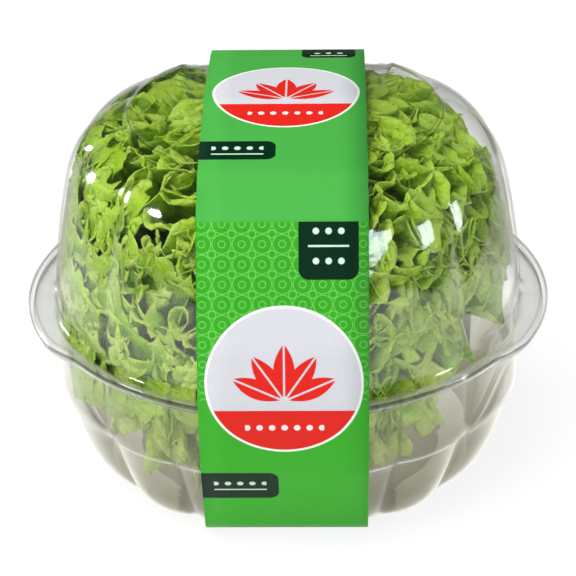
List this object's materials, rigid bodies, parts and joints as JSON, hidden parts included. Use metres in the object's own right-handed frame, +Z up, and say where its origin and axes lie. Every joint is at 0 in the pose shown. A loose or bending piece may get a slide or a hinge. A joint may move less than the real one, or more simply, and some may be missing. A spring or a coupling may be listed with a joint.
{
  "type": "loose-leaf lettuce in a clear clamshell pack",
  "caption": "Head of frilly loose-leaf lettuce in a clear domed pack with a lobed tub, closed by a green paper band.",
  "frame": {"origin": "centre of the pack's footprint, at the level it rests on", "axes": "+Z up, front of the pack towards -Y, the two lifting ears towards -X and +X"},
  "size_m": [0.1996, 0.1836, 0.1434],
  "materials": {
    "clear_plastic": "clear, glossy",
    "printed_paper": "coated paper, satin print",
    "leaf": "waxy leaf, semi-matte",
    "stem": "moist, semi-matte"
  },
  "bodies": {
    "root": {"lid": "clear_plastic", "base": "clear_plastic", "paper_band": "printed_paper", "lettuce_head": "leaf", "lettuce_stem": "stem"}
  },
  "joints": []
}
